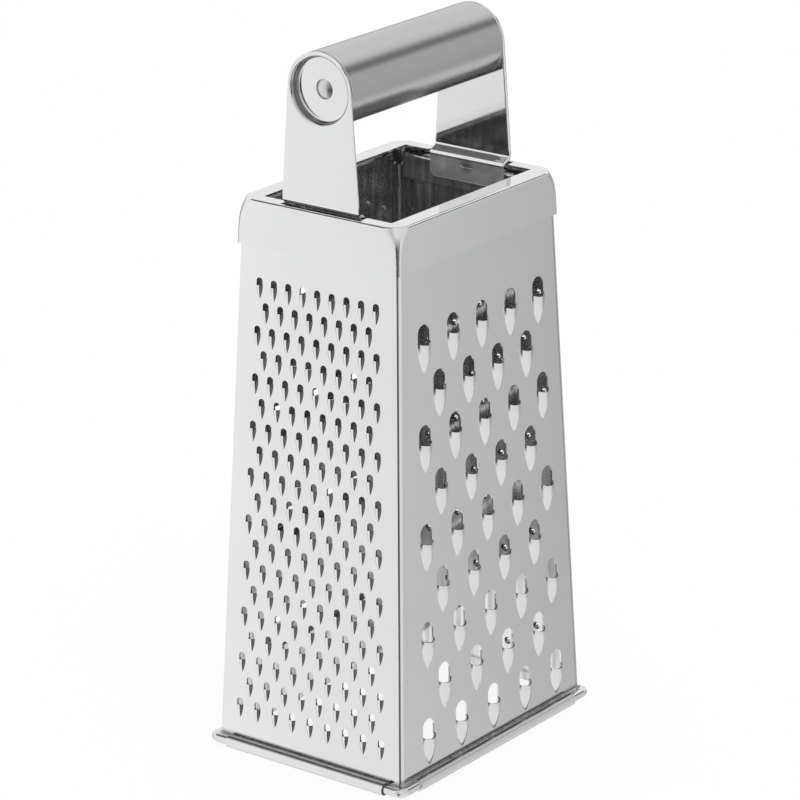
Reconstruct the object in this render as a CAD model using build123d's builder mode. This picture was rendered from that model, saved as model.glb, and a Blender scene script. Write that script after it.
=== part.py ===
from build123d import *
from math import acos, atan, cos, degrees, sin, tan
import os

# Four-sided box grater in stainless sheet, with a tube handle.
# Millimetres, +Z up, X along the wide sides. The origin lies on the floor, under the middle.

# Body: outside sizes of the tapered panels on the floor and at their heads
base_length = 101.5
base_width = 75.4
head_length = 84.1
head_width = 62.4
head_height = 185.0
sheet = 0.6

# Upright seams: the wide panels fold round the corners and lap behind the narrow ones
fold_radius = 1.3
seam_setback = 0.55
lap_depth = 5.5
lap_gap = 0.05
panel_top = 184.2
relief_height = 179.8
relief_width = 4.4

# Foot: the panels' lower edges are rolled round one wire ring
wire_radius = 1.45
wire_gap = 0.05
wire_corner = 2.2
pressed_flat = 0.06
skirt_height = 2.3
hem_stub = 9.0
hem_length_narrow = 65.0
hem_length_wide = 87.0

# Head hem of the narrow panels: folded inwards, then down, as the seat of the bracket tabs
head_hem_top = 185.2
head_hem_length = 54.0
head_hem_bend = 0.5
head_hem_stub = 6.0
lip_drop = 8.5
tab_gap = 0.05

# Collar: a drawn cap over the panels' heads
collar_low = 173.1
collar_top = 188.2
collar_sheet = 0.7
collar_gap = 0.2
collar_corner_low = 1.4
collar_corner_top = 7.2
collar_edge = 1.0
collar_sections = 8
corner_growth = 4.5
opening_length = 75.1
opening_width = 51.1
opening_corner = 0.5
notch_reach = 41.3
notch_side_gap = 0.9

# Handle: tube between two stamped brackets, held by a through rod
handle_height = 227.5
tube_radius = 12.5
tube_wall = 1.0
tube_edge = 0.3
tube_end_gap = 0.05
bracket_sheet = 1.0
bracket_reach = 41.0
arch_radius = 12.45
foot_width = 30.3
foot_height = 191.5
joggle_height = 188.8
joggle_half_drop = 0.7
joggle_radius = 1.5
joggle_offset = 3.2
tab_drop = 9.4
tab_corner = 2.0
dish_radius = 12.1
dish_depth = 2.8
dish_lip = 1.5
dish_heel = 0.8
dish_cup_radius = 11.4
dish_cup_round = 0.6
dish_cup_wall = 0.8
weld_mark_length = 5.0
weld_mark_width = 1.4
weld_mark_depth = 0.25
weld_mark_drop = 3.6
rod_radius = 2.0
rod_gap = 0.05
rivet_radius = 3.3
rivet_rise = 1.3

# Fine teeth, on the narrow panel at -X
fine_rows = 19
fine_across = 9
fine_first_edge = 160.5
fine_last_edge = 15.5
fine_pitch_top = 5.85
fine_pitch_foot = 7.32
fine_width = 2.6
fine_lip = 4.75
fine_rise = 1.0
fine_skin = 0.3
fine_mouth = 2.3

# Coarse teeth, on the wide panel at -Y
coarse_rows = 9
coarse_across = 5
coarse_first_edge = 148.5
coarse_last_edge = 16.1
coarse_pitch_top = 15.6
coarse_pitch_foot = 18.0
coarse_aside_top = 0.85
coarse_aside_foot = 1.4
coarse_width = 6.5
coarse_lip = 10.15
coarse_rise = 2.0
coarse_skin = 0.5
coarse_mouth = 5.8
coarse_hollow = 0.7

# Slicing blades, on the wide panel at +Y
blade_count = 4
blade_first_edge = 146.0
blade_last_edge = 32.0
blade_width = 58.0
blade_lip = 8.0
blade_rise = 2.2
blade_skin = 0.5
blade_mouth = 3.6
blade_end_run = 8.0
blade_corner = 1.5

# Rasp burrs, on the narrow panel at +X
burr_rows = 18
burr_across = 8
burr_first_edge = 162.0
burr_last_edge = 14.0
burr_pitch_top = 6.8
burr_pitch_foot = 8.4
burr_foot_radius = 1.7
burr_tip_radius = 0.85
burr_bore_low = 1.65
burr_bore_high = 0.15
burr_rise = 1.1
burr_notch = 0.5
burr_notch_depth = 0.7

# Shares of other sizes, and what cuts run past what they cut
cavity_end_share = 0.9
mouth_width_share = 0.94
mouth_crown_share = 0.5
overrun = 0.6

# Worked-out sizes that several pieces follow
narrow_lean = atan((base_length - head_length) / 2 / head_height)
wide_lean = atan((base_width - head_width) / 2 / head_height)
hem_bore = wire_radius + wire_gap
bead_radius = hem_bore + sheet
wire_height = bead_radius - pressed_flat
tab_reach = bracket_reach - joggle_offset
tube_half = bracket_reach - bracket_sheet - tube_end_gap
rod_half = bracket_reach - dish_depth
whole = base_length + base_width + handle_height
up = Vector(0, 0, 1)
handle_plane = Plane(origin=(0, 0, handle_height), x_dir=(1, 0, 0), z_dir=(0, -1, 0))
handle_axis = Axis((0, 0, handle_height), (1, 0, 0))


def half_length(z):
    """Half of the body's outside length at height z."""
    return (base_length + (head_length - base_length) * z / head_height) / 2


def half_width(z):
    """Half of the body's outside width at height z."""
    return (base_width + (head_width - base_width) * z / head_height) / 2


def face_plane(outward, half_base, lean):
    """Plane of a panel's outer face: x to the right, y up the slope, z outwards."""
    normal = outward * cos(lean) + up * sin(lean)
    return Plane(origin=outward * half_base, x_dir=up.cross(outward), z_dir=normal)


def section_plane(outward):
    """Upright plane through the middle: x outwards, y up."""
    return Plane(origin=(0, 0, 0), x_dir=outward, z_dir=outward.cross(up))


def wire_reach(half_base, lean):
    """How far out the wire's centre line runs along a panel's foot."""
    return half_base - wire_height * tan(lean) + hem_bore / cos(lean)


# The four sides: their outward directions, faces and sections
fine_out = Vector(-1, 0, 0)
coarse_out = Vector(0, -1, 0)
slicing_out = Vector(0, 1, 0)
rasp_out = Vector(1, 0, 0)
fine_face = face_plane(fine_out, half_length(0), narrow_lean)
rasp_face = face_plane(rasp_out, half_length(0), narrow_lean)
coarse_face = face_plane(coarse_out, half_width(0), wide_lean)
slicing_face = face_plane(slicing_out, half_width(0), wide_lean)


def wired_hem(half_base, lean):
    """Section of a panel's foot rolled round the wire."""
    reach = wire_reach(half_base, lean)
    tangent_angle = 180 + degrees(lean)
    closing_angle = 360 + tangent_angle - degrees(acos(hem_bore / bead_radius))
    flat_angle = degrees(acos(wire_height / bead_radius))

    def on_bead(angle):
        return Vector(reach, wire_height) + Vector(bead_radius, 0).rotate(Axis.Z, angle)

    def arc_points(start, end):
        return on_bead(start), on_bead((start + end) / 2), on_bead(end)

    outer_top = (half_base - hem_stub * tan(lean), hem_stub)
    inner_top = (half_base - hem_stub * tan(lean) - sheet / cos(lean), hem_stub)
    with BuildSketch() as section:
        with BuildLine():
            ThreePointArc(*arc_points(tangent_angle, 270 - flat_angle))
            Line(on_bead(270 - flat_angle), on_bead(270 + flat_angle))
            ThreePointArc(*arc_points(270 + flat_angle, closing_angle))
            Polyline(on_bead(closing_angle), outer_top, inner_top, on_bead(tangent_angle))
        make_face()
        with Locations((reach, wire_height)):
            Circle(hem_bore, mode=Mode.SUBTRACT)
    return section.sketch


def head_hem():
    """Section of a narrow panel's head, folded inwards and down."""
    low = head_hem_top - head_hem_stub
    under = head_hem_top - sheet
    skin = sheet / cos(narrow_lean)
    lip = tab_reach + tab_gap
    with BuildSketch() as section:
        Polygon(
            (half_length(low), low),
            (half_length(head_hem_top), head_hem_top),
            (lip, head_hem_top),
            (lip, head_hem_top - lip_drop),
            (lip + sheet, head_hem_top - lip_drop),
            (lip + sheet, under),
            (half_length(under) - skin, under),
            (half_length(low) - skin, low),
            align=None,
        )
        fillet(section.vertices().group_by(Axis.Y)[-1], head_hem_bend + sheet)
    return section.sketch


def narrow_panel(outward, face):
    """Plain narrow panel with its wired foot and its folded head."""
    slope = 1 / cos(narrow_lean)
    top = panel_top - sheet
    foot_section = wired_hem(half_length(0), narrow_lean)
    head_section = head_hem()
    with BuildPart() as panel:
        with BuildSketch(face):
            Polygon(
                (-half_width(skirt_height) + seam_setback, skirt_height * slope),
                (half_width(skirt_height) - seam_setback, skirt_height * slope),
                (half_width(relief_height) - seam_setback, relief_height * slope),
                (half_width(relief_height) - relief_width, top * slope),
                (relief_width - half_width(relief_height), top * slope),
                (seam_setback - half_width(relief_height), relief_height * slope),
                align=None,
            )
        extrude(amount=-sheet)
        with BuildSketch(section_plane(outward)):
            add(foot_section)
        extrude(amount=hem_length_narrow / 2, both=True)
        with BuildSketch(section_plane(outward)):
            add(head_section)
        extrude(amount=head_hem_length / 2, both=True)
    return panel.part


def corner_block(inset_x, inset_y, low, high, corner):
    """Solid that follows the body's taper, inset from its faces, with rounded uprights."""
    with BuildPart() as block:
        with BuildSketch(Plane.XZ):
            Polygon(
                (inset_x - half_length(low), low),
                (half_length(low) - inset_x, low),
                (half_length(high) - inset_x, high),
                (inset_x - half_length(high), high),
                align=None,
            )
        extrude(amount=whole, both=True)
        with BuildSketch(Plane.YZ):
            Polygon(
                (inset_y - half_width(low), low),
                (half_width(low) - inset_y, low),
                (half_width(high) - inset_y, high),
                (inset_y - half_width(high), high),
                align=None,
            )
        extrude(amount=whole, both=True, mode=Mode.INTERSECT)
        uprights = block.edges().filter_by(lambda edge: abs((edge % 0).Z) > abs((edge % 0).X))
        fillet(uprights.filter_by(lambda edge: abs((edge % 0).Z) > abs((edge % 0).Y)), corner)
    return block.part


def wide_panel(outward, face):
    """Plain wide panel, folded round the corners, with its wired foot."""
    behind = sheet / cos(narrow_lean) + lap_gap
    foot_section = wired_hem(half_width(0), wide_lean)
    outside = corner_block(behind, 0, skirt_height, panel_top, fold_radius)
    inside = corner_block(
        behind + sheet / cos(narrow_lean),
        sheet / cos(wide_lean),
        skirt_height - overrun,
        panel_top + overrun,
        fold_radius - sheet,
    )
    with BuildPart() as panel:
        add(outside)
        add(inside, mode=Mode.SUBTRACT)
        split(bisect_by=face.offset(-lap_depth), keep=Keep.TOP)
        with BuildSketch(Plane.XZ):
            for side in (-1, 1):
                with Locations((side * half_length(relief_height), relief_height)):
                    Rectangle(2 * relief_width, 2 * lap_depth, align=(Align.CENTER, Align.MIN))
        extrude(amount=whole, both=True, mode=Mode.SUBTRACT)
        with BuildSketch(section_plane(outward)):
            add(foot_section)
        extrude(amount=hem_length_wide / 2, both=True)
    return panel.part


def staggered(
    face, lean, rows, across, first_edge, last_edge, pitch_top, pitch_foot, aside_top=0, aside_foot=0
):
    """Places on a face, row by row downwards. Every other row has one fewer, set between.

    A pattern that stands off the face's middle is set aside to the right of it.
    """
    places = []
    for row in range(rows):
        share = row / (rows - 1)
        height = first_edge + (last_edge - first_edge) * share
        pitch = pitch_top + (pitch_foot - pitch_top) * share
        aside = aside_top + (aside_foot - aside_top) * share
        count = across - row % 2
        for column in range(count):
            across_face = aside + pitch * (column - (count - 1) / 2)
            places.append(face.location * Location((across_face, height / cos(lean), 0)))
    return places


def tooth(width, lip, rise, skin, mouth, hollow=0):
    """Raised tooth at the origin, edge upwards: what it adds to a panel, and what it cuts.

    The opening over the edge has an elliptical head. A hollow edge dips by that much in its middle.
    """
    crown_radius = (width * width / 4 + rise * rise) / (2 * rise)
    axis_depth = crown_radius - rise
    axis = Axis((0, 0, -axis_depth), (0, 1, 0))
    with BuildPart() as bump:
        with BuildSketch(Plane.YZ):
            with BuildLine():
                TangentArc((0, rise), (-lip, 0), tangent=(-1, 0))
                Polyline((-lip, 0), (-lip, -axis_depth), (0, -axis_depth), (0, rise))
            make_face()
        revolve(axis=axis)
        split(bisect_by=Plane.XY.offset(-sheet / 2), keep=Keep.TOP)
    cavity_end = -axis_depth * cavity_end_share
    mouth_width = width * mouth_width_share
    with BuildPart() as cavity:
        with BuildSketch(Plane.YZ):
            with BuildLine():
                TangentArc((0, rise - skin), (-lip, cavity_end), tangent=(-1, 0))
                Polyline((-lip, cavity_end), (-lip, -axis_depth), (sheet, -axis_depth))
                Polyline((sheet, -axis_depth), (sheet, rise - skin), (0, rise - skin))
            make_face()
        revolve(axis=axis)
    side = mouth_width / 2
    shoulder = mouth * (1 - mouth_crown_share)
    with BuildPart() as opening:
        with BuildSketch():
            with BuildLine():
                if hollow:
                    ThreePointArc((-side, 0), (0, -hollow), (side, 0))
                else:
                    Line((-side, 0), (side, 0))
                Line((side, 0), (side, shoulder))
                EllipticalCenterArc((0, shoulder), side, mouth - shoulder, arc_size=180)
                Line((-side, shoulder), (-side, 0))
            make_face()
        extrude(amount=rise + overrun, both=True)
    return bump.part, cavity.part, opening.part


def blade():
    """Slicing blade at the origin, edge upwards: what it adds to a panel, and what it cuts."""
    barrel_radius = (blade_lip * blade_lip + blade_rise * blade_rise) / (2 * blade_rise)
    axis_depth = barrel_radius - blade_rise
    axis = Axis((0, 0, -axis_depth), (1, 0, 0))
    end = blade_width / 2
    shoulder = end - blade_end_run

    def barrel(rise, ends_at):
        with BuildSketch() as section:
            with BuildLine():
                Polyline((end, ends_at), (end, -axis_depth), (-end, -axis_depth), (-end, ends_at))
                TangentArc((-shoulder, rise), (-end, ends_at), tangent=(-1, 0))
                Line((-shoulder, rise), (shoulder, rise))
                TangentArc((shoulder, rise), (end, ends_at), tangent=(1, 0))
            make_face()
        return section.sketch

    outer_section = barrel(blade_rise, 0)
    inner_section = barrel(blade_rise - blade_skin, -sheet)
    with BuildPart() as bump:
        with BuildSketch(Plane.XZ):
            add(outer_section)
        revolve(axis=axis)
        split(bisect_by=Plane.XY.offset(-sheet / 2), keep=Keep.TOP)
        split(bisect_by=Plane.XZ, keep=Keep.TOP)
    with BuildPart() as cavity:
        with BuildSketch(Plane.XZ):
            add(inner_section)
        revolve(axis=axis)
        split(bisect_by=Plane.XZ.offset(-sheet), keep=Keep.TOP)
    with BuildPart() as opening:
        with BuildSketch():
            RectangleRounded(
                blade_width * mouth_width_share, blade_mouth, blade_corner, align=(Align.CENTER, Align.MIN)
            )
        extrude(amount=blade_rise + overrun, both=True)
    return bump.part, cavity.part, opening.part


def burr():
    """Rasp burr at the origin, a crater whose rim is torn in four: what it adds, and what it cuts."""
    with BuildPart() as crater:
        with Locations((0, 0, -sheet / 2)):
            Cone(
                burr_foot_radius,
                burr_tip_radius,
                burr_rise + sheet / 2,
                align=(Align.CENTER, Align.CENTER, Align.MIN),
            )
    with BuildPart() as hole:
        with Locations((0, 0, -sheet - overrun)):
            Cone(
                burr_bore_low,
                burr_bore_high,
                burr_rise + sheet + 2 * overrun,
                align=(Align.CENTER, Align.CENTER, Align.MIN),
            )
    with BuildPart() as tears:
        with Locations((0, 0, burr_rise - burr_notch_depth)):
            for turn in (0, 90):
                Box(
                    2 * burr_foot_radius,
                    burr_notch,
                    2 * burr_notch_depth,
                    rotation=(0, 0, turn),
                    align=(Align.CENTER, Align.CENTER, Align.MIN),
                )
    return crater.part, hole.part, tears.part


def stamp(places, added, *cut):
    """Add one raised form at every place on the active part, then make its cuts."""
    with Locations(*places):
        add(added)
    for tool in cut:
        with Locations(*places):
            add(tool, mode=Mode.SUBTRACT)


# Fine grating panel
fine_places = staggered(
    fine_face,
    narrow_lean,
    fine_rows,
    fine_across,
    fine_first_edge,
    fine_last_edge,
    fine_pitch_top,
    fine_pitch_foot,
)
fine_sheet = narrow_panel(fine_out, fine_face)
fine_tooth = tooth(fine_width, fine_lip, fine_rise, fine_skin, fine_mouth)
with BuildPart() as fine_grating_panel:
    add(fine_sheet)
    stamp(fine_places, *fine_tooth)

# Coarse grating panel
coarse_places = staggered(
    coarse_face,
    wide_lean,
    coarse_rows,
    coarse_across,
    coarse_first_edge,
    coarse_last_edge,
    coarse_pitch_top,
    coarse_pitch_foot,
    coarse_aside_top,
    coarse_aside_foot,
)
coarse_sheet = wide_panel(coarse_out, coarse_face)
coarse_tooth = tooth(coarse_width, coarse_lip, coarse_rise, coarse_skin, coarse_mouth, coarse_hollow)
with BuildPart() as coarse_grating_panel:
    add(coarse_sheet)
    stamp(coarse_places, *coarse_tooth)

# Slicing panel
blade_places = []
for index in range(blade_count):
    blade_edge = blade_first_edge + (blade_last_edge - blade_first_edge) * index / (blade_count - 1)
    blade_places.append(slicing_face.location * Location((0, blade_edge / cos(wide_lean), 0)))
slicing_sheet = wide_panel(slicing_out, slicing_face)
slicing_blade = blade()
with BuildPart() as slicing_panel:
    add(slicing_sheet)
    stamp(blade_places, *slicing_blade)

# Rasp panel
burr_places = staggered(
    rasp_face,
    narrow_lean,
    burr_rows,
    burr_across,
    burr_first_edge,
    burr_last_edge,
    burr_pitch_top,
    burr_pitch_foot,
)
rasp_sheet = narrow_panel(rasp_out, rasp_face)
rasp_burr = burr()
with BuildPart() as rasp_panel:
    add(rasp_sheet)
    stamp(burr_places, *rasp_burr)

# Base wire
wire_x = wire_reach(half_length(0), narrow_lean)
wire_y = wire_reach(half_width(0), wide_lean)
with BuildPart() as base_wire:
    with BuildLine(Plane.XY.offset(wire_height)) as wire_path:
        FilletPolyline(
            (-wire_x, -wire_y),
            (wire_x, -wire_y),
            (wire_x, wire_y),
            (-wire_x, wire_y),
            radius=wire_corner,
            close=True,
        )
    with BuildSketch(Plane(origin=wire_path.line @ 0, z_dir=wire_path.line % 0)):
        Circle(wire_radius)
    sweep()


def collar_body(inset, low, high):
    """Tapered body of the collar, its corners opening out towards the top."""
    sections = []
    for index in range(collar_sections):
        z = low + (high - low) * index / (collar_sections - 1)
        share = max(z - collar_low, 0) / (collar_top - collar_low)
        corner = collar_corner_low + (collar_corner_top - collar_corner_low) * share**corner_growth
        proud = collar_gap + collar_sheet - inset
        with BuildSketch(Plane.XY.offset(z)) as section:
            RectangleRounded(2 * (half_length(z) + proud), 2 * (half_width(z) + proud), corner - inset)
        sections.append(section.sketch)
    with BuildPart() as body:
        loft(sections)
    return body.part


# Top collar
collar_outside = collar_body(0, collar_low, collar_top)
collar_inside = collar_body(collar_sheet, collar_low - overrun, collar_top - collar_sheet)
with BuildPart() as top_collar:
    add(collar_outside)
    fillet(top_collar.faces().sort_by(Axis.Z)[-1].edges(), collar_edge)
    add(collar_inside, mode=Mode.SUBTRACT)
    with BuildSketch(Plane.XY.offset(collar_low)):
        RectangleRounded(opening_length, opening_width, opening_corner)
        Rectangle(2 * notch_reach, foot_width + 2 * notch_side_gap)
    extrude(amount=whole, mode=Mode.SUBTRACT)


def handle_bracket():
    """Stamped bracket on the +X side: dished arch, joggled foot and tab."""
    mid = bracket_reach - bracket_sheet / 2
    tab_mid = mid - joggle_offset
    tab_low = joggle_height - tab_drop
    top = handle_height + arch_radius
    floor = bracket_reach - dish_depth
    rim = bracket_reach - dish_lip
    wall_radius = dish_radius - dish_lip
    floor_radius = wall_radius - dish_heel
    with BuildPart() as bracket:
        with BuildLine(Plane.XZ) as fold_line:
            FilletPolyline(
                (mid, top),
                (mid, joggle_height + joggle_half_drop),
                (tab_mid, joggle_height - joggle_half_drop),
                (tab_mid, tab_low),
                radius=joggle_radius,
            )
        with BuildSketch(Plane(origin=fold_line.line @ 0, z_dir=fold_line.line % 0)):
            Rectangle(bracket_sheet, 2 * foot_width)
        sweep()
        with BuildSketch(Plane.YZ) as outline:
            with Locations((0, handle_height)):
                Circle(arch_radius)
            with Locations((0, foot_height)):
                Rectangle(foot_width, sheet)
            make_hull()
            with Locations((0, tab_low)):
                Rectangle(foot_width, foot_height - tab_low, align=(Align.CENTER, Align.MIN))
            fillet(outline.vertices().group_by(Axis.Y)[0], tab_corner)
        extrude(amount=whole, mode=Mode.INTERSECT)
        with BuildSketch(Plane.YZ.offset(bracket_reach - dish_depth - dish_cup_wall)):
            with Locations((0, handle_height)):
                Circle(dish_cup_radius)
        extrude(amount=dish_depth + dish_cup_wall - bracket_sheet / 2)
        fillet(bracket.edges().filter_by(GeomType.CIRCLE).group_by(Axis.X)[1], dish_cup_round)
        with BuildSketch(handle_plane):
            with BuildLine():
                Line((floor, 0), (floor, floor_radius))
                TangentArc((floor, floor_radius), (floor + dish_heel, wall_radius), tangent=(0, 1))
                Line((floor + dish_heel, wall_radius), (rim, wall_radius))
                TangentArc((bracket_reach, dish_radius), (rim, wall_radius), tangent=(0, -1))
                Polyline((bracket_reach, dish_radius), (bracket_reach, 0), (floor, 0))
            make_face()
        revolve(axis=handle_axis, mode=Mode.SUBTRACT)
        with BuildSketch(Plane.YZ):
            with Locations((0, handle_height)):
                Circle(rod_radius + rod_gap)
        extrude(amount=whole, mode=Mode.SUBTRACT)
        with BuildSketch(Plane.YZ.offset(tab_reach - bracket_sheet)):
            with Locations((0, joggle_height - weld_mark_drop)):
                SlotOverall(weld_mark_length, weld_mark_width)
        extrude(amount=weld_mark_depth, mode=Mode.SUBTRACT)
    return bracket.part


# Handle brackets, a mirrored pair
stamped_bracket = handle_bracket()
with BuildPart() as rear_handle_bracket:
    add(stamped_bracket)
with BuildPart() as front_handle_bracket:
    mirror(rear_handle_bracket.part, about=Plane.YZ)

# Handle tube
with BuildPart() as handle_tube:
    with BuildSketch(Plane.YZ):
        with Locations((0, handle_height)):
            Circle(tube_radius)
            Circle(tube_radius - tube_wall, mode=Mode.SUBTRACT)
    extrude(amount=tube_half, both=True)
    fillet(handle_tube.edges().filter_by(GeomType.CIRCLE), tube_edge)

# Tie rod, its riveted heads in the dishes
with BuildPart() as tie_rod:
    with BuildSketch(handle_plane):
        with BuildLine():
            Polyline((rod_half, rivet_radius), (rod_half, rod_radius), (0, rod_radius), (0, 0))
            Line((0, 0), (rod_half + rivet_rise, 0))
            TangentArc((rod_half + rivet_rise, 0), (rod_half, rivet_radius), tangent=(0, 1))
        make_face()
    revolve(axis=handle_axis)
    mirror(about=Plane.YZ)

pieces = {
    "fine_grating_panel": fine_grating_panel,
    "coarse_grating_panel": coarse_grating_panel,
    "slicing_panel": slicing_panel,
    "rasp_panel": rasp_panel,
    "base_wire": base_wire,
    "top_collar": top_collar,
    "front_handle_bracket": front_handle_bracket,
    "rear_handle_bracket": rear_handle_bracket,
    "handle_tube": handle_tube,
    "tie_rod": tie_rod,
}
os.makedirs("parts", exist_ok=True)
for name, piece in pieces.items():
    piece.part.label = name
    export_step(piece.part, "parts/" + name + ".step")
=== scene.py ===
"""Looks of the four-sided box grater: polished steel sheet, a satin handle tube, a white studio."""

from math import pi, radians

import bpy
from mathutils import Matrix, Vector

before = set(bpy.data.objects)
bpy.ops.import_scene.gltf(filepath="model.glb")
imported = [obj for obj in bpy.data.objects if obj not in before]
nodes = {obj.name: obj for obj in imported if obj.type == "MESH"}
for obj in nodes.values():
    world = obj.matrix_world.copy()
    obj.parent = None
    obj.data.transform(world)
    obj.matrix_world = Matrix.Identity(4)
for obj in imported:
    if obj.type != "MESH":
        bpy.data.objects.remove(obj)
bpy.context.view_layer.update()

# Camera of the photograph
camera_azimuth = radians(-52.894)
camera_elevation = radians(19.274)
camera_roll = radians(-0.326)
camera_distance = 1.33315
camera_aim = Vector((0, 0, 0.120))
camera_slide = Vector((0.00002, -0.00571, 0))
camera_lens = 182.98
camera_film = 36.0

# Noise: the part of its range that is used, and the settings of fine grain
noise_span = (0.3, 0.7)
grain_detail = 4.0
grain_roughness = 0.6

# How much bluer than neutral the steel is
coolness = 1.005

# Polished sheets: how light they are outside, and inside at foot, middle and head, where the inside levels
# are painted light and shade by height
wide_level = 0.80
narrow_level = 0.84
collar_level = 0.83
bracket_level = 0.81
panel_inner_light_levels = (0.88, 0.53, 0.64)
collar_inner_light_levels = (0.88, 0.60, 0.60)

# Polished skin: noise in cycles per metre along X, Y and Z, heights in metres, and roughness
cloud_cycles = (35, 35, 35)
cloud_depth = 0.02
wave_cycles = (28, 28, 28)
wave_detail = 1.0
wave_height = 0.000008
grain_cycles = (900, 900, 30)
grain_height = 0.000001
sheet_gloss = (0.045, 0.08)

# Inside: how far a surface lies from the upright axis along its own normal, which is less than nothing there
inwards_span = (-0.006, -0.002)
# Heights between which the inside's painted light at the foot turns to painted shade, and between which it
# gets lighter again
inner_shade_span = (0.030, 0.046)
inner_light_span = (0.085, 0.130)
inner_haze = 0.12
inner_gloss = 0.02
# Drawn streaks of the inside
streak_cycles = (420, 420, 11)
streak_detail = 2.0
streak_span = (0.4, 0.65)
streak_depth = 0.4
streak_tone = 0.1
streak_height = 0.00003

# Ground steels: how light, roughness, cycles of grain per metre along X, Y and Z, and height of grain
wire_finish = (0.78, (0.08, 0.14), (300, 300, 300), 0.000002)
tube_finish = (0.54, (0.23, 0.26), (1800, 120, 120), 0.0000004)
rivet_finish = (0.72, (0.28, 0.33), (600, 600, 600), 0.000002)
ground_cloud_cycles = (60, 60, 60)

# Upright cut edges of the narrow panels: how far out they lie on the floor, and how that falls upwards
seam_reach = 0.0362
seam_fall = 0.0351
seam_soft = 0.0010
seam_facing = (0.8, 0.9)
# Tones of the cut edges: the dark joint line together with painted shade of the lap, dark on the fine panel
# and kept light on the rasp panel
fine_seam_shade_tone = 0.12
rasp_seam_shade_tone = 0.72

# Painted shade on the flanks of punched forms and rivet heads: between which facings along Y, and how much
# darker
flank_facing = (-0.5, -0.3)
fine_flank_shading = 0.88
rasp_flank_shading = 0.3
rivet_flank_facing = (-0.75, -0.15)
rivet_flank_shading = 0.9
flank_shade_tone = 0.04

# Rolled foot: the bead's top, and where the painted shade in the cove over it ends on narrow and on wide
# panels
bead_top = 0.0040
bead_gloss = 0.26
cove_low = 0.0036
narrow_cove_shade = (0.0040, 0.0057)
wide_cove_shade = (0.0048, 0.0058)
cove_shade_depth = 0.5
cove_shade_tone = 0.05

# Painted shade: the collar's rounded uprights and the walls of the dishes
bend_shade_depth = 0.8
bend_shade_tone = 0.06
corner_facing = (0.36, 0.44)
corner_rise = (0.12, 0.42)

# Pressed dish of each bracket: its axis lies along X, and its wall between these radii
dish_height = 0.2275
dish_wall = (0.0094, 0.0122)
dish_soft = 0.0002
dish_facing = (0.55, 0.97)

# Tab of each bracket, and the spot weld on it
tab_height = 0.1875
tab_soft = 0.0010
tab_haze = 0.28
weld_place = Vector((0.0368, 0, 0.1852))
weld_halo = 0.0035
weld_tone = 0.35

# Studio: greys that the steel mirrors, by compass angle in degrees from +X, in the belt round the object,
# in the floor near it and overhead
belt_tones = (
    (0, 0.40),
    (60, 0.42),
    (90, 0.60),
    (120, 0.95),
    (136, 1.00),
    (140.7, 1.00),
    (143, 0.89),
    (149, 0.86),
    (186, 0.80),
    (192, 0.10),
    (219, 0.10),
    (223.5, 0.85),
    (300, 0.82),
    (316, 0.68),
    (322, 0.635),
    (325.5, 0.48),
    (332, 0.46),
    (345, 0.42),
    (360, 0.40),
)
steep_tones = (
    (0, 0.85),
    (40, 0.70),
    (90, 0.80),
    (140, 1.00),
    (183, 0.90),
    (190, 0.08),
    (199, 0.08),
    (206, 0.90),
    (360, 0.85),
)
high_tones = (
    (0, 1.00),
    (37, 0.92),
    (150, 0.95),
    (190, 0.60),
    (220, 0.85),
    (300, 0.75),
    (320, 0.62),
    (328, 0.62),
    (352, 0.95),
    (360, 1.00),
)
# Rises between which the floor's tones turn into the belt's, and the belt's into those overhead
belt_start = (-0.52, -0.34)
belt_end = (-0.05, 0.15)
# Dark flags in the studio: compass angles, rises, soft edges of both, and strength
flags = (
    ((323, 339), (0.44, 0.60), 5, 0.06, 0.90),
    ((342, 358), (-0.72, -0.62), 6, 0.04, 0.60),
    ((50, 122), (0.68, 0.95), 8, 0.06, 0.85),
)
flag_tone = 0.03

# Light and floor
soft_light = 1.0
key_place = Vector((-1.2, -1.4, 1.8))
key_aim = Vector((0, 0, 0.1))
key_size = 2.0
key_power = 14
floor_size = 8.0
floor_tone = 0.9
floor_roughness = 0.9
floor_glow = 0.9


def feed(tree, socket, value):
    """Link a socket to another one, or set it to a plain value."""
    if isinstance(value, bpy.types.NodeSocket):
        tree.links.new(value, socket)
    elif value is not None:
        socket.default_value = value


def material(name):
    """New node material, its tree and its shader."""
    made = bpy.data.materials.new(name)
    made.use_nodes = True
    return made, made.node_tree, made.node_tree.nodes["Principled BSDF"]


def calc(tree, operation, first, second=None):
    """Math node on sockets or plain numbers."""
    node = tree.nodes.new("ShaderNodeMath")
    node.operation = operation
    for socket, value in zip(node.inputs, (first, second)):
        feed(tree, socket, value)
    return node.outputs["Value"]


def product(tree, first, *others):
    """Product of sockets or plain numbers."""
    for other in others:
        first = calc(tree, "MULTIPLY", first, other)
    return first


def remainder(tree, share):
    """What a share leaves of 1."""
    return calc(tree, "SUBTRACT", 1.0, share)


def vector_calc(tree, operation, first, second=None, result="Vector"):
    """Vector math node on sockets or plain vectors."""
    node = tree.nodes.new("ShaderNodeVectorMath")
    node.operation = operation
    for socket, value in zip(node.inputs, (first, second)):
        feed(tree, socket, value)
    return node.outputs[result]


def between(tree, value, start, end, low=0.0, high=1.0, smooth=True):
    """Value mapped from start..end to low..high and held beyond."""
    node = tree.nodes.new("ShaderNodeMapRange")
    node.interpolation_type = "SMOOTHSTEP" if smooth else "LINEAR"
    node.inputs["From Min"].default_value = start
    node.inputs["From Max"].default_value = end
    node.inputs["To Min"].default_value = low
    node.inputs["To Max"].default_value = high
    tree.links.new(value, node.inputs["Value"])
    return node.outputs["Result"]


def fading(tree, value, start, end):
    """1 up to start, falling to 0 at end."""
    return between(tree, value, start, end, 1.0, 0.0)


def coordinate(tree, kind):
    """Texture coordinate of a kind."""
    return tree.nodes.new("ShaderNodeTexCoord").outputs[kind]


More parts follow.
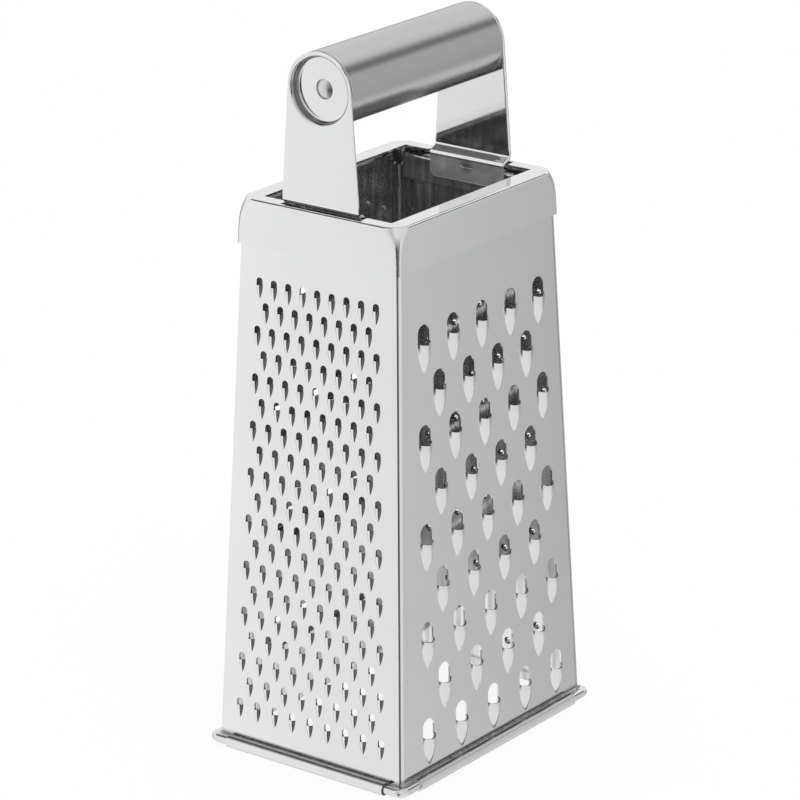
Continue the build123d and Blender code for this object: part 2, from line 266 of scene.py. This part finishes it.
def parts(tree, vector):
    """X, Y and Z of a vector."""
    node = tree.nodes.new("ShaderNodeSeparateXYZ")
    tree.links.new(vector, node.inputs["Vector"])
    return node.outputs


def noise(tree, cycles, detail=3.0, roughness=0.5):
    """Noise over the object, from 0 to 1, with its middle near one half."""
    mapping = tree.nodes.new("ShaderNodeMapping")
    mapping.inputs["Scale"].default_value = cycles
    tree.links.new(coordinate(tree, "Object"), mapping.inputs["Vector"])
    texture = tree.nodes.new("ShaderNodeTexNoise")
    texture.inputs["Scale"].default_value = 1.0
    texture.inputs["Detail"].default_value = detail
    texture.inputs["Roughness"].default_value = roughness
    tree.links.new(mapping.outputs["Vector"], texture.inputs["Vector"])
    return texture.outputs["Fac"]


def blend(tree, factor, first, second):
    """Colour between first and second, each a socket or a colour, by factor."""
    mix = tree.nodes.new("ShaderNodeMix")
    mix.data_type = "RGBA"
    tree.links.new(factor, mix.inputs["Factor"])
    for name, value in (("A", first), ("B", second)):
        feed(tree, next(each for each in mix.inputs if each.name == name and each.type == "RGBA"), value)
    return next(each for each in mix.outputs if each.type == "RGBA")


def bump(tree, height, distance, under=None):
    """Bump of a height field, over another bump where one is given."""
    node = tree.nodes.new("ShaderNodeBump")
    node.inputs["Distance"].default_value = distance
    node.inputs["Strength"].default_value = 1.0
    tree.links.new(height, node.inputs["Height"])
    if under is not None:
        tree.links.new(under, node.inputs["Normal"])
    return node.outputs["Normal"]


def grey(level):
    """Neutral colour, a touch cool."""
    return (level, level, level * coolness, 1.0)


def facing_inwards(tree):
    """1 where a surface faces the grater's upright axis, else 0."""
    level = vector_calc(tree, "MULTIPLY", coordinate(tree, "Object"), (1, 1, 0))
    outwards = vector_calc(tree, "DOT_PRODUCT", level, coordinate(tree, "Normal"), result="Value")
    return fading(tree, outwards, *inwards_span)


def faces_along(tree, axis):
    """How far a surface faces along an axis, from -1 to 1."""
    return parts(tree, coordinate(tree, "Normal"))[axis]


def faces_either_way(tree, axis):
    """How far a surface faces along an axis, either way, from 0 to 1."""
    return calc(tree, "ABSOLUTE", faces_along(tree, axis))


def height_share(tree, start, end):
    """0 up to one height over the floor, rising to 1 at another."""
    return between(tree, parts(tree, coordinate(tree, "Object"))["Z"], start, end)


def around(tree, place, reach):
    """1 at a place on the object, falling to 0 at reach."""
    distance = vector_calc(tree, "DISTANCE", coordinate(tree, "Object"), place, result="Value")
    return fading(tree, distance, 0.0, reach)


def seam_edges(tree):
    """1 on the upright cut edges of a narrow panel, else 0."""
    place = parts(tree, coordinate(tree, "Object"))
    reach = calc(tree, "ABSOLUTE", place["Y"])
    reach = calc(tree, "ADD", reach, product(tree, place["Z"], seam_fall))
    outermost = between(tree, reach, seam_reach - seam_soft, seam_reach)
    return product(tree, outermost, between(tree, faces_either_way(tree, "Y"), *seam_facing))


def shaded_corners(tree):
    """1 in the middle of the collar's rounded uprights, fading where they turn upwards, else 0."""
    diagonal = product(tree, faces_either_way(tree, "X"), faces_either_way(tree, "Y"))
    upright = fading(tree, faces_along(tree, "Z"), *corner_rise)
    return product(tree, between(tree, diagonal, *corner_facing), upright)


def dish_walls(tree):
    """1 on the upright walls of the brackets' dishes, else 0."""
    offset = vector_calc(tree, "SUBTRACT", coordinate(tree, "Object"), (0, 0, dish_height))
    radius = vector_calc(tree, "LENGTH", vector_calc(tree, "MULTIPLY", offset, (0, 1, 1)), result="Value")
    low, high = dish_wall
    outside = between(tree, radius, low, low + dish_soft)
    inside = fading(tree, radius, high, high + dish_soft)
    return product(tree, outside, inside, fading(tree, faces_either_way(tree, "X"), *dish_facing))


def shaded_flank(tree, colour, facing, shade_depth):
    """Colour with painted shade where a surface faces the back along Y."""
    return blend(tree, between(tree, faces_along(tree, "Y"), *facing, shade_depth, 0.0), colour, grey(flank_shade_tone))


def polished_steel(name, level, inner_light_levels=None, cove=None):
    """Mirror-polished sheet with upright rolling grain and soft waves.

    The inner levels are painted light and shade for the faces inside, at foot, middle and head, under drawn
    streaks.
    The cove is for panels: a rolled foot with a duller bead and painted shade in the cove over it, up to
    those heights.
    """
    made, tree, shader = material(name)
    shader.inputs["Metallic"].default_value = 1.0
    clouds = between(tree, noise(tree, cloud_cycles), *noise_span, smooth=False)
    grain = noise(tree, grain_cycles, grain_detail, grain_roughness)
    colour = blend(tree, clouds, grey(level - cloud_depth), grey(level))
    gloss = between(tree, grain, *noise_span, *sheet_gloss, smooth=False)
    waves = bump(tree, noise(tree, wave_cycles, wave_detail), wave_height)
    relief = bump(tree, grain, grain_height, waves)
    if inner_light_levels is not None:
        foot_level, middle_level, head_level = inner_light_levels
        inner = facing_inwards(tree)
        streaks = noise(tree, streak_cycles, streak_detail)
        # Painted light and shade inside: lighter at the foot, where light comes in through the open foot,
        # darker in the middle, lighter again at the head
        inner_light_colour = blend(tree, height_share(tree, *inner_shade_span), grey(foot_level), grey(middle_level))
        inner_light_colour = blend(tree, height_share(tree, *inner_light_span), inner_light_colour, grey(head_level))
        inner_light_colour = blend(tree, between(tree, streaks, *streak_span, 0.0, streak_depth), inner_light_colour, grey(streak_tone))
        colour = blend(tree, inner, colour, inner_light_colour)
        gloss = calc(tree, "ADD", gloss, product(tree, inner, inner_gloss))
        relief = bump(tree, product(tree, streaks, inner), streak_height, relief)
        tree.links.new(remainder(tree, product(tree, inner, inner_haze)), shader.inputs["Metallic"])
    if cove is not None:
        # Painted shade in the cove over the rolled bead
        over_bead = height_share(tree, cove_low, bead_top)
        cove_shade = calc(tree, "SUBTRACT", over_bead, height_share(tree, *cove))
        colour = blend(tree, product(tree, cove_shade, cove_shade_depth), colour, grey(cove_shade_tone))
        gloss = calc(tree, "ADD", gloss, product(tree, remainder(tree, over_bead), bead_gloss))
    tree.links.new(colour, shader.inputs["Base Color"])
    tree.links.new(gloss, shader.inputs["Roughness"])
    tree.links.new(relief, shader.inputs["Normal"])
    return made, tree, shader, colour


def collar_sheet():
    """Polished collar, with painted shade down the middle of its rounded uprights."""
    made, tree, shader, colour = polished_steel("polished_collar", collar_level, collar_inner_light_levels)
    # Painted shade down the middle of the collar's rounded uprights
    colour = blend(tree, product(tree, shaded_corners(tree), bend_shade_depth), colour, grey(bend_shade_tone))
    tree.links.new(colour, shader.inputs["Base Color"])
    return made


def narrow_sheet(name, flank_shading, seam_shade_tone):
    """Polished sheet with cut edges of a tone of their own, and painted shade on the flank of its punched
    forms.
    """
    made, tree, shader, colour = polished_steel(name, narrow_level, panel_inner_light_levels, narrow_cove_shade)
    # Painted shade on the punched forms' flanks that face back along Y
    colour = shaded_flank(tree, colour, flank_facing, flank_shading)
    # Cut edges: the dark joint line together with painted shade of the lap
    colour = blend(tree, seam_edges(tree), colour, grey(seam_shade_tone))
    tree.links.new(colour, shader.inputs["Base Color"])
    return made


def bracket_steel():
    """Stamped, polished bracket: painted shade on the dish walls, a dull tab and the halo of a spot weld on
    it.
    """
    made, tree, shader, colour = polished_steel("polished_bracket", bracket_level)
    # Painted shade on the walls of the pressed dishes
    colour = blend(tree, product(tree, dish_walls(tree), bend_shade_depth), colour, grey(bend_shade_tone))
    over_tab = height_share(tree, tab_height - tab_soft, tab_height)
    haze = product(tree, facing_inwards(tree), remainder(tree, over_tab), tab_haze)
    tree.links.new(remainder(tree, haze), shader.inputs["Metallic"])
    front, rear = (
        around(tree, Vector((side * weld_place.x, weld_place.y, weld_place.z)), weld_halo) for side in (-1, 1)
    )
    colour = blend(tree, calc(tree, "MAXIMUM", front, rear), colour, grey(weld_tone))
    tree.links.new(colour, shader.inputs["Base Color"])
    return made


def ground_steel(name, finish, flank_shading=None):
    """Steel ground along one way, with fine grain and faint cloudy marks, and painted shade on one flank if
    asked.
    """
    level, gloss, cycles, height = finish
    made, tree, shader = material(name)
    shader.inputs["Metallic"].default_value = 1.0
    clouds = between(tree, noise(tree, ground_cloud_cycles), *noise_span, smooth=False)
    marks = noise(tree, cycles, grain_detail, grain_roughness)
    colour = blend(tree, clouds, grey(level - cloud_depth), grey(level))
    if flank_shading is not None:
        # Painted shade on the rivet heads' flanks that face back along Y
        colour = shaded_flank(tree, colour, rivet_flank_facing, flank_shading)
    tree.links.new(colour, shader.inputs["Base Color"])
    tree.links.new(between(tree, marks, *noise_span, *gloss, smooth=False), shader.inputs["Roughness"])
    tree.links.new(bump(tree, marks, height), shader.inputs["Normal"])
    return made


def dress(node, made):
    """Give a CAD node its one material."""
    mesh = nodes[node].data
    mesh.materials.clear()
    mesh.materials.append(made)


def tones(tree, turn, stops):
    """Grey at a compass angle, from stops of angle in degrees and grey."""
    node = tree.nodes.new("ShaderNodeValToRGB")
    elements = node.color_ramp.elements
    for angle, _ in stops[1:-1]:
        elements.new(angle / 360)
    for element, (angle, level) in zip(elements, stops):
        element.position = angle / 360
        element.color = (level, level, level, 1)
    tree.links.new(turn, node.inputs["Fac"])
    return node.outputs["Color"]


def patch(tree, turn, rise, angles, rises, soft_angle, soft_rise):
    """1 within a patch of the studio, by compass angle in degrees and rise, with soft edges."""
    first, last = (angle / 360 for angle in angles)
    soft = soft_angle / 360
    low, high = rises
    return product(
        tree,
        between(tree, turn, first - soft, first),
        fading(tree, turn, last, last + soft),
        between(tree, rise, low - soft_rise, low),
        fading(tree, rise, high, high + soft_rise),
    )


def studio_tones(tree):
    """What polished steel mirrors: light walls and floor with a dark gap, and the dark flags."""
    heading = parts(tree, coordinate(tree, "Generated"))
    rise = heading["Z"]
    turn = calc(tree, "DIVIDE", calc(tree, "ARCTAN2", heading["Y"], heading["X"]), 2 * pi)
    turn = calc(tree, "FRACT", calc(tree, "ADD", turn, 1.0))
    steep, belt, high = (tones(tree, turn, stops) for stops in (steep_tones, belt_tones, high_tones))
    below = blend(tree, between(tree, rise, *belt_start), steep, belt)
    studio = blend(tree, between(tree, rise, *belt_end), below, high)
    for *place, strength in flags:
        flag = patch(tree, turn, rise, *place)
        studio = blend(tree, product(tree, flag, strength), studio, grey(flag_tone))
    return studio


def ray(tree, first, *others):
    """1 for rays of the given kinds, else 0."""
    path = tree.nodes.new("ShaderNodeLightPath")
    total = path.outputs[first]
    for kind in others:
        total = calc(tree, "MAXIMUM", total, path.outputs[kind])
    return total


def mix_shaders(tree, share, first, second):
    """Shader between first and second, by share."""
    mix = tree.nodes.new("ShaderNodeMixShader")
    tree.links.new(share, mix.inputs["Fac"])
    tree.links.new(first, mix.inputs[1])
    tree.links.new(second, mix.inputs[2])
    return mix.outputs["Shader"]


def white_studio():
    """White where it is seen, studio tones where it is mirrored, and a plain soft light elsewhere."""
    world = bpy.data.worlds.new("studio")
    world.use_nodes = True
    bpy.context.scene.world = world
    tree = world.node_tree
    tree.nodes.clear()
    output = tree.nodes.new("ShaderNodeOutputWorld")
    white, mirrored, soft = (tree.nodes.new("ShaderNodeBackground") for _ in range(3))
    white.inputs["Color"].default_value = (1, 1, 1, 1)
    soft.inputs["Color"].default_value = (1, 1, 1, 1)
    soft.inputs["Strength"].default_value = soft_light
    tree.links.new(studio_tones(tree), mirrored.inputs["Color"])
    glossy = ray(tree, "Is Glossy Ray")
    surface = mix_shaders(tree, glossy, soft.outputs["Background"], mirrored.outputs["Background"])
    seen = ray(tree, "Is Camera Ray", "Is Transmission Ray")
    surface = mix_shaders(tree, seen, surface, white.outputs["Background"])
    tree.links.new(surface, output.inputs["Surface"])


def pale_floor():
    """White floor that keeps a faint shadow. Steel mirrors the studio's tones in its place."""
    made, tree, shader = material("pale_floor")
    shader.inputs["Base Color"].default_value = (floor_tone, floor_tone, floor_tone, 1)
    shader.inputs["Roughness"].default_value = floor_roughness
    glow = tree.nodes.new("ShaderNodeEmission")
    glow.inputs["Color"].default_value = (1, 1, 1, 1)
    share = product(tree, ray(tree, "Is Camera Ray", "Is Transmission Ray"), floor_glow)
    surface = mix_shaders(tree, share, shader.outputs["BSDF"], glow.outputs["Emission"])
    tree.links.new(surface, tree.nodes["Material Output"].inputs["Surface"])
    mesh = bpy.data.meshes.new("floor")
    reach = floor_size / 2
    corners = [(-reach, -reach, 0), (reach, -reach, 0), (reach, reach, 0), (-reach, reach, 0)]
    mesh.from_pydata(corners, [], [(0, 1, 2, 3)])
    mesh.materials.append(made)
    floor = bpy.data.objects.new("floor", mesh)
    bpy.context.scene.collection.objects.link(floor)
    floor.visible_glossy = False


def key_lamp():
    """Square soft box that no steel mirrors."""
    light = bpy.data.lights.new("key", "AREA")
    light.size = key_size
    light.energy = key_power
    lamp = bpy.data.objects.new("key", light)
    bpy.context.scene.collection.objects.link(lamp)
    lamp.visible_glossy = False
    lamp.location = key_place
    lamp.rotation_euler = (key_aim - key_place).to_track_quat("-Z", "Y").to_euler()


def photograph_camera():
    """Camera that matches the photograph's view."""
    data = bpy.data.cameras.new("photograph_camera")
    data.sensor_width = camera_film
    data.lens = camera_lens
    camera = bpy.data.objects.new("photograph_camera", data)
    bpy.context.scene.collection.objects.link(camera)
    turn = Matrix.Rotation(camera_azimuth, 4, "Z") @ Matrix.Rotation(pi / 2 - camera_elevation, 4, "X")
    turn = turn @ Matrix.Rotation(camera_roll, 4, "Z")
    offset = turn @ (camera_slide + Vector((0, 0, camera_distance)))
    camera.matrix_world = Matrix.Translation(camera_aim + offset) @ turn
    bpy.context.scene.camera = camera


# Finishes
wide_steel = polished_steel("polished_wide_sheet", wide_level, panel_inner_light_levels, wide_cove_shade)[0]
bracket_finish = bracket_steel()
for node, finish in (
    ("coarse_grating_panel", wide_steel),
    ("slicing_panel", wide_steel),
    ("fine_grating_panel", narrow_sheet("polished_fine_sheet", fine_flank_shading, fine_seam_shade_tone)),
    ("rasp_panel", narrow_sheet("polished_rasp_sheet", rasp_flank_shading, rasp_seam_shade_tone)),
    ("top_collar", collar_sheet()),
    ("front_handle_bracket", bracket_finish),
    ("rear_handle_bracket", bracket_finish),
    ("base_wire", ground_steel("bright_wire", wire_finish)),
    ("handle_tube", ground_steel("satin_tube", tube_finish)),
    ("tie_rod", ground_steel("rivet_steel", rivet_finish, rivet_flank_shading)),
):
    dress(node, finish)

white_studio()
pale_floor()
key_lamp()
photograph_camera()
bpy.context.scene.view_settings.view_transform = "Standard"
